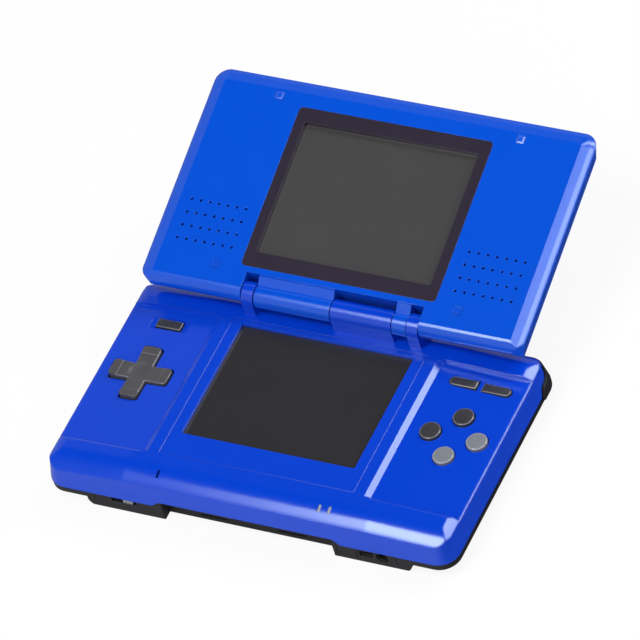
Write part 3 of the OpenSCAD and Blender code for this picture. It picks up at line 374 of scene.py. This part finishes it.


# one button: rounded rim painted lighter as a painted highlight, domed cap in rings, holding flange
# below
def modelRoundButton(finish, highlightRim):
    size = roundButton
    low, high = size["flangeHigh"], size["firstTop"]
    sag = size["dome"] - math.sqrt(size["dome"] ** 2 - (size["radius"] - size["edge"]) ** 2)
    brow = high - sag
    piece = startRound("roundButtonPattern", (0.0, 0.0, (low + brow) / 2), size["radius"],
                       brow - low, size["sides"])
    dressPiece(piece, finish, highlightRim)
    half = (brow - low) / 2
    bpy.ops.object.mode_set(mode="EDIT")
    pick("FACE", lambda at, out: out.z > alongShare)
    reach = size["radius"] - size["edge"]
    insetFaces(size["edge"])
    below = sag
    for width in size["rings"]:
        reach -= width
        now = size["dome"] - math.sqrt(size["dome"] ** 2 - reach ** 2)
        insetFaces(width)
        moveFaces((0.0, 0.0, below - now))
        below = now
    pick("EDGE", lambda at, along: abs(at.z - half) < near and abs(along.z) < acrossShare
         and at.xy.length > size["radius"] - size["edge"] / 4)
    # the rim bevel takes the lighter rim finish, a painted highlight
    bevelEdges(size["edge"] * size["rimShare"], size["rimSteps"], rimSlot)
    pick("FACE", lambda at, out: out.z < -alongShare)
    pushFaces((0.0, 0.0, 0.0))
    grow = size["flange"] / size["radius"]
    bpy.ops.transform.resize(value=(grow, grow, 1.0), center_override=(0.0, 0.0, low * mm))
    pushFaces((0.0, 0.0, size["flangeLow"] - low))
    bpy.ops.object.mode_set(mode="OBJECT")
    bpy.ops.object.transform_apply(location=True, rotation=False, scale=False)
    return piece


# the four caps are copies of one pattern, raised to their own tops and refinished
def placeRoundButtons():
    pattern = modelRoundButton("greyKeys", "greyKeyHighlightRim")
    waist = (roundButton["flangeHigh"] + roundButton["firstTop"]) / 2
    for name, ((x, y), top, finish, highlightRim, slotName) in buttonPlaces.items():
        bpy.ops.object.select_all(action="DESELECT")
        bpy.context.view_layer.objects.active = pattern
        pattern.select_set(True)
        bpy.ops.object.duplicate()
        piece = bpy.context.object
        piece.name = name + "_cap"
        piece.location = (x * mm, y * mm, 0.0)
        bpy.ops.object.mode_set(mode="EDIT")
        pick("VERT", lambda at, out: at.z > waist)
        moveFaces((0.0, 0.0, top - roundButton["firstTop"]))
        piece.data.materials[0], piece.data.materials[rimSlot] = materials[finish], materials[highlightRim]
        finishPiece(piece, name, name)
    bpy.ops.object.select_all(action="DESELECT")
    pattern.select_set(True)
    bpy.ops.object.delete()


crossPad = {"middle": (-57.0, 2.2), "low": 11.3, "step": 16.15, "top": 16.45, "half": 10.7,
            "arm": 3.25, "stepAt": 7.6, "corner": 1.2, "cornerSteps": 6, "edge": 0.32,
            "dish": 12.0, "dishUp": 10.9, "dishSides": (96, 64),
            "flange": 10.9, "flangeHigh": 12.05, "flangeSides": 72, "pivotInset": 9.4, "pivot": 0.5}


# cross pad: arms pushed out of a middle block, raised ends, hollow scooped by a ball
def modelCrossPad():
    size = crossPad
    x, y = size["middle"]
    low, step, arm = size["low"], size["step"], size["arm"]
    piece = startBlock("crossPadTop", (x, y, (low + step) / 2), (2 * arm, 2 * arm, step - low))
    dressPiece(piece, "padPaintedSheen", "darkKeyHighlightRim")
    top = (step - low) / 2
    bpy.ops.object.mode_set(mode="EDIT")
    for side in ((1, 0), (0, 1), (-1, 0), (0, -1)):
        way = Vector((*side, 0.0))
        reached = arm
        for reach in (size["stepAt"], size["half"]):
            pick("FACE", lambda at, out: out.dot(way) > alongShare
                 and abs(at.dot(way) - reached) < near and abs(at.xy.cross(way.xy)) < near)
            pushFaces(way * (reach - reached))
            reached = reach
    pick("FACE", lambda at, out: out.z > alongShare and at.xy.length > size["stepAt"])
    pushFaces((0.0, 0.0, size["top"] - step))
    half, corner = size["half"], size["corner"]
    far = half - near
    pick("EDGE", lambda at, along: abs(along.z) > alongShare and max(abs(at.x), abs(at.y)) > far)
    bevelEdges(corner, size["cornerSteps"])

    def onOutline(at, along):
        long, short = max(abs(at.x), abs(at.y)), min(abs(at.x), abs(at.y))
        side = short > arm - near
        end = long > far or (long > far - corner and short > arm - corner - near)
        return at.z > top - near and abs(along.z) < acrossShare and (side or end)

    pick("EDGE", onOutline)
    # the outline bevel takes the lighter rim finish, a painted highlight
    bevelEdges(size["edge"], finish=rimSlot)
    bpy.ops.object.mode_set(mode="OBJECT")
    segments, rings = size["dishSides"]
    bpy.ops.mesh.primitive_uv_sphere_add(
        segments=segments, ring_count=rings, radius=size["dish"] * mm,
        location=(x * mm, y * mm, (size["top"] + size["dishUp"]) * mm))
    ball = bpy.context.object
    bpy.ops.object.select_all(action="DESELECT")
    bpy.context.view_layer.objects.active = piece
    piece.select_set(True)
    scoop = piece.modifiers.new("scoop", "BOOLEAN")
    scoop.operation = "DIFFERENCE"
    scoop.object = ball
    bpy.ops.object.modifier_apply(modifier="scoop")
    flange = startRound("crossPadFlange", (x, y, (low + size["flangeHigh"]) / 2), size["flange"],
                        size["flangeHigh"] - low, size["flangeSides"])
    dressPiece(flange, "padPaintedSheen")
    bpy.ops.object.mode_set(mode="EDIT")
    pick("FACE", lambda at, out: out.z < -alongShare)
    insetFaces(size["pivotInset"])
    pushFaces((0.0, 0.0, -size["pivot"]))
    bpy.ops.object.mode_set(mode="OBJECT")
    bpy.ops.object.select_all(action="DESELECT")
    ball.select_set(True)
    bpy.ops.object.delete()
    piece.select_set(True)
    flange.select_set(True)
    bpy.context.view_layer.objects.active = piece
    bpy.ops.object.join()
    finishPiece(piece, "d_pad", "d_pad")


pillKey = {"length": 9.9, "width": 3.4, "y": 23.85, "edge": 0.35, "flangeLow": 11.4,
           "flangeHigh": 12.3, "skirt": (0.4, 0.7), "endShort": 0.005, "endSteps": 14,
           "corner": 0.25, "cornerSteps": 3}
pillKeys = {  # x, top and the side of the round end
    "select_key": (51.15, 15.98, -1.0),
    "start_key": (62.95, 15.36, 1.0),
}


# key with one round end, a softened top and a holding flange
def modelPillKey(name, x, top, side):
    size = pillKey
    low = size["flangeHigh"]
    piece = startBlock(name + "_cap", (x, size["y"], (low + top) / 2),
                       (size["length"], size["width"], top - low))
    dressPiece(piece, "darkKeys", "darkKeyHighlightRim")
    end = size["length"] / 2
    bpy.ops.object.mode_set(mode="EDIT")
    pick("EDGE", lambda at, along: abs(along.z) > alongShare and abs(at.x - side * end) < near)
    bevelEdges(size["width"] / 2 - size["endShort"], size["endSteps"])
    pick("EDGE", lambda at, along: abs(along.z) > alongShare and abs(at.x + side * end) < near)
    bevelEdges(size["corner"], size["cornerSteps"])
    pick("EDGE", lambda at, along: at.z > (top - low) / 2 - near and abs(along.z) < acrossShare)
    # the top bevel takes the lighter rim finish, a painted highlight
    bevelEdges(size["edge"], finish=rimSlot)
    pick("FACE", lambda at, out: out.z < -alongShare)
    pushFaces((0.0, 0.0, 0.0))
    lengthSkirt, widthSkirt = size["skirt"]
    bpy.ops.transform.resize(
        value=(1 + 2 * lengthSkirt / size["length"], 1 + 2 * widthSkirt / size["width"], 1.0),
        center_override=(x * mm, size["y"] * mm, low * mm))
    pushFaces((0.0, 0.0, size["flangeLow"] - low))
    finishPiece(piece, name, name)


powerKey = {"middle": (-56.6, 23.85), "size": (9.1, 3.4), "top": 15.49, "edge": 0.3,
            "corner": 0.3, "flangeLow": 11.4, "flangeHigh": 12.3, "skirt": 0.8}


# oblong key with softened edges and a holding flange
def modelPowerKey():
    size = powerKey
    x, y = size["middle"]
    low, top = size["flangeHigh"], size["top"]
    long, wide = size["size"]
    piece = startBlock("powerKeyCap", (x, y, (low + top) / 2), (long, wide, top - low))
    dressPiece(piece, "darkKeys", "darkKeyHighlightRim")
    bpy.ops.object.mode_set(mode="EDIT")
    pick("EDGE", lambda at, along: abs(along.z) > alongShare)
    bevelEdges(size["corner"])
    pick("EDGE", lambda at, along: at.z > (top - low) / 2 - near and abs(along.z) < acrossShare)
    # the top bevel takes the lighter rim finish, a painted highlight
    bevelEdges(size["edge"], finish=rimSlot)
    pick("FACE", lambda at, out: out.z < -alongShare)
    pushFaces((0.0, 0.0, 0.0))
    grown = [(side + 2 * size["skirt"]) / side for side in (long, wide)]
    bpy.ops.transform.resize(value=(*grown, 1.0), center_override=(x * mm, y * mm, low * mm))
    pushFaces((0.0, 0.0, size["flangeLow"] - low))
    finishPiece(piece, "power_key", "power_key")


screwCover = {"x": 44.2, "along": 69.0, "half": 1.4, "slope": 0.62, "fall": 0.23, "proud": 0.3,
              "thick": 1.44, "edge": 0.06, "pit": 0.03, "corner": 0.18, "cornerSteps": 3,
              "lidFace": 5.15, "tilt": 15.6, "hinge": (36.95, 22.5), "smooth": 12.0}


# square covers over the upper lid screws: flat middle with wide sloping sides
def modelScrewCovers():
    size = screwCover
    high, low = size["lidFace"] + size["proud"], size["lidFace"] - size["thick"]
    side = 2 * size["half"]
    piece = startBlock("screwCoverPlugs", (size["x"], size["along"], (low + high) / 2),
                       (side, side, high - low))
    dressPiece(piece, "coverBlue")
    bpy.ops.object.mode_set(mode="EDIT")
    pick("FACE", lambda at, out: out.z > alongShare)
    moveFaces((0.0, 0.0, -size["fall"]))
    insetFaces(size["slope"])
    moveFaces((0.0, 0.0, size["fall"]))
    insetFaces(size["edge"])
    moveFaces((0.0, 0.0, -size["pit"]))
    pick("EDGE", lambda at, along: abs(along.z) > alongShare)
    bevelEdges(size["corner"], size["cornerSteps"])
    bpy.ops.object.mode_set(mode="OBJECT")
    bpy.ops.object.transform_apply(location=True, rotation=False, scale=False)
    bpy.ops.object.duplicate()
    bpy.ops.transform.translate(value=(-2 * size["x"] * mm, 0.0, 0.0))
    bpy.ops.object.transform_apply(location=True, rotation=False, scale=False)
    piece.select_set(True)
    bpy.context.view_layer.objects.active = piece
    bpy.ops.object.join()
    piece.rotation_euler = (math.radians(size["tilt"]), 0.0, 0.0)
    piece.location = (0.0, size["hinge"][0] * mm, size["hinge"][1] * mm)
    finishPiece(piece, "lid", "lid_screw_covers", size["smooth"])


placeRoundButtons()
modelCrossPad()
for keyName, keyPlace in pillKeys.items():
    modelPillKey(keyName, *keyPlace)
modelPowerKey()
modelScrewCovers()
print("hand-modelled pieces placed")


# soft boxes: place, aim, direction of the long side, size, all in metres, and power in watts
studio = {
    "overFront": ((-0.195, -0.43, 0.95), (0.06, 0.0, 0.01), (1.0, 0.0, 0.0), (0.50, 0.54), 8.0),
    "overRear": ((0.48, 0.56, 0.68), (0.02, 0.0, 0.015), (0.81, 0.0, -0.585), (1.10, 0.26), 6.0),
    "rightSheen": ((0.42, 0.13, 0.88), (0.03, 0.03, 0.02), (1.0, 0.0, 0.0), (0.45, 0.35), 2.7),
}
fadingEnd = {"overFront": 0.08}  # share of the box over which it fades
sheenOnly = {"rightSheen"}  # boxes that show in reflections but add no light of their own


# one end of a soft box dims evenly, as through a half-drawn cloth
def fadeLamp(light, share):
    light.use_nodes = True
    tree = light.node_tree
    place = addNode(tree, "ShaderNodeNewGeometry", (-600, 0))
    parts = addNode(tree, "ShaderNodeSeparateXYZ", (-400, 0))
    fade = addNode(tree, "ShaderNodeMapRange", (-200, 0))
    fade.inputs["From Max"].default_value = share
    linkSockets(tree, place.outputs["Parametric"], parts.inputs[0])
    linkSockets(tree, parts.outputs["X"], fade.inputs["Value"])
    linkSockets(tree, fade.outputs["Result"], tree.nodes["Emission"].inputs["Strength"])


def addSoftBox(name, spec):
    place, aim, longSide, size, power = spec
    bpy.ops.object.light_add(type="AREA", location=place)
    lamp = bpy.context.object
    lamp.name = name
    lamp.data.shape = "RECTANGLE"
    lamp.data.size, lamp.data.size_y = size
    lamp.data.energy = power
    lamp.visible_diffuse = name not in sheenOnly
    if name in fadingEnd:
        fadeLamp(lamp.data, fadingEnd[name])
    back = (Vector(place) - Vector(aim)).normalized()
    up = back.cross(Vector(longSide)).normalized()
    side = up.cross(back)
    lamp.rotation_euler = Matrix((side, up, back)).transposed().to_euler()


paper = {  # floor: white, with painted shade in its mirror image behind the console
    "front": (0.9, 0.9, 0.905, 1.0),
    "mirrorFront": (0.42, 0.42, 0.43, 1.0),
    "rear": (0.012, 0.012, 0.013, 1.0),
    "across": (1.0, 0.3, 0.0),
    "fadeFrom": 0.046,
    "fadeTo": 0.074,
    "whiteShare": 0.9,
    "glossShare": 0.01,
    "rough": 0.9,
    "shine": 0.1,
    "size": 2.6,  # metres
    "below": 0.05,  # mm under the console
}


# floor paper: a graded tone that only reflections see, painted shade behind the console, with white
# mixed in for the camera and for clear pieces
def makePaper():
    material = bpy.data.materials.new("palePaper")
    material.use_nodes = True
    tree = material.node_tree
    shader = tree.nodes["Principled BSDF"]
    shader.inputs["Roughness"].default_value = paper["rough"]
    shader.inputs["Specular IOR Level"].default_value = paper["shine"]
    coords = addNode(tree, "ShaderNodeTexCoord", (-1300, 0))
    across = addNode(tree, "ShaderNodeVectorMath", (-1100, 0), operation="DOT_PRODUCT")
    across.inputs[1].default_value = paper["across"]
    fade = addNode(tree, "ShaderNodeMapRange", (-900, 0), interpolation_type="SMOOTHSTEP")
    fade.inputs["From Min"].default_value = paper["fadeFrom"]
    fade.inputs["From Max"].default_value = paper["fadeTo"]
    # reflections see the floor darker behind the console: painted shade
    graded = addNode(tree, "ShaderNodeMix", (-700, 0), data_type="RGBA")
    graded.inputs["A"].default_value = paper["mirrorFront"]
    graded.inputs["B"].default_value = paper["rear"]
    path = addNode(tree, "ShaderNodeLightPath", (-900, 300))
    seen = addNode(tree, "ShaderNodeMix", (-450, 0), data_type="RGBA")
    seen.inputs["A"].default_value = paper["front"]
    direct = addNode(tree, "ShaderNodeMath", (-650, 300), operation="MAXIMUM")
    share = addNode(tree, "ShaderNodeMath", (-450, 300), operation="MULTIPLY")
    share.inputs[1].default_value = paper["whiteShare"]
    gloss = addNode(tree, "ShaderNodeMath", (-250, 300), operation="MULTIPLY_ADD")
    gloss.inputs[1].default_value = paper["glossShare"]
    white = addNode(tree, "ShaderNodeEmission", (0, -200))
    both = addNode(tree, "ShaderNodeMixShader", (250, 0))
    linkSockets(tree, coords.outputs["Object"], across.inputs[0])
    linkSockets(tree, across.outputs["Value"], fade.inputs["Value"])
    linkSockets(tree, fade.outputs["Result"], graded.inputs["Factor"])
    linkSockets(tree, graded.outputs["Result"], seen.inputs["B"])
    linkSockets(tree, path.outputs["Is Glossy Ray"], seen.inputs["Factor"])
    linkSockets(tree, seen.outputs["Result"], shader.inputs["Base Color"])
    linkSockets(tree, path.outputs["Is Camera Ray"], direct.inputs[0])
    linkSockets(tree, path.outputs["Is Transmission Ray"], direct.inputs[1])
    linkSockets(tree, direct.outputs[0], share.inputs[0])
    linkSockets(tree, path.outputs["Is Glossy Ray"], gloss.inputs[0])
    linkSockets(tree, share.outputs[0], gloss.inputs[2])
    linkSockets(tree, gloss.outputs[0], both.inputs["Fac"])
    linkSockets(tree, shader.outputs[0], both.inputs[1])
    linkSockets(tree, white.outputs[0], both.inputs[2])
    linkSockets(tree, both.outputs[0], tree.nodes["Material Output"].inputs["Surface"])
    return material


def layFloor():
    bpy.ops.mesh.primitive_plane_add(size=paper["size"], location=(0.0, 0.0, -paper["below"] * mm))
    floor = bpy.context.object
    floor.name = "floor"
    floor.data.materials.append(makePaper())


sky = {  # pale walls, a dim ceiling above them, and a wide glow from the front
    "wall": 0.34,
    "ceiling": 0.015,
    "wallTop": 0.64,
    "ceilingFrom": 0.72,
    "glowFrom": (0.35, -0.90, 0.26),
    "glow": 0.55,
    "glowEdge": 0.55,
    "glowFull": 0.95,
}


# the camera and clear pieces see plain white, reflections see the graded sky
def hangSky():
    world = bpy.data.worlds.new("studioSky")
    bpy.context.scene.world = world
    world.use_nodes = True
    tree = world.node_tree
    upward = addNode(tree, "ShaderNodeTexCoord", (-800, 0))
    parts = addNode(tree, "ShaderNodeSeparateXYZ", (-600, 0))
    height = addNode(tree, "ShaderNodeMapRange", (-400, 0), interpolation_type="SMOOTHSTEP")
    height.inputs["From Min"].default_value = sky["wallTop"]
    height.inputs["From Max"].default_value = sky["ceilingFrom"]
    height.inputs["To Min"].default_value = sky["wall"]
    height.inputs["To Max"].default_value = sky["ceiling"]
    linkSockets(tree, upward.outputs["Generated"], parts.inputs[0])
    linkSockets(tree, parts.outputs["Z"], height.inputs["Value"])
    facing = addNode(tree, "ShaderNodeVectorMath", (-600, -300), operation="DOT_PRODUCT")
    facing.inputs[1].default_value = sky["glowFrom"]
    glow = addNode(tree, "ShaderNodeMapRange", (-400, -300), interpolation_type="SMOOTHSTEP")
    glow.inputs["From Min"].default_value = sky["glowEdge"]
    glow.inputs["From Max"].default_value = sky["glowFull"]
    glow.inputs["To Max"].default_value = sky["glow"]
    total = addNode(tree, "ShaderNodeMath", (-200, -100), operation="ADD")
    path = addNode(tree, "ShaderNodeLightPath", (-400, 400))
    direct = addNode(tree, "ShaderNodeMath", (-200, 400), operation="MAXIMUM")
    plain = addNode(tree, "ShaderNodeMix", (0, 100), data_type="FLOAT")
    plain.inputs["B"].default_value = 1.0
    linkSockets(tree, upward.outputs["Generated"], facing.inputs[0])
    linkSockets(tree, facing.outputs["Value"], glow.inputs["Value"])
    linkSockets(tree, height.outputs["Result"], total.inputs[0])
    linkSockets(tree, glow.outputs["Result"], total.inputs[1])
    linkSockets(tree, total.outputs[0], plain.inputs["A"])
    linkSockets(tree, path.outputs["Is Camera Ray"], direct.inputs[0])
    linkSockets(tree, path.outputs["Is Transmission Ray"], direct.inputs[1])
    linkSockets(tree, direct.outputs[0], plain.inputs["Factor"])
    tree.nodes["Background"].inputs["Color"].default_value = (1.0, 1.0, 1.0, 1.0)
    linkSockets(tree, plain.outputs["Result"], tree.nodes["Background"].inputs["Strength"])


photoView = {  # camera solved from the photograph: metres, degrees, millimetres
    "place": (1.03262, -1.27322, 1.77739),
    "turn": (41.964, 12.774, 24.615),
    "lens": 419.6,
    "sensor": 36.0,
    "seesTo": 20.0,
}


def placeCamera():
    bpy.ops.object.camera_add(location=photoView["place"],
                              rotation=[math.radians(a) for a in photoView["turn"]])
    camera = bpy.context.object
    camera.data.lens = photoView["lens"]
    camera.data.sensor_width = photoView["sensor"]
    camera.data.clip_end = photoView["seesTo"]
    bpy.context.scene.camera = camera
    bpy.context.scene.view_settings.view_transform = "Standard"


bpy.ops.object.select_all(action="DESELECT")
for boxName, boxSpec in studio.items():
    addSoftBox(boxName, boxSpec)
layFloor()
hangSky()
placeCamera()
print("studio built")
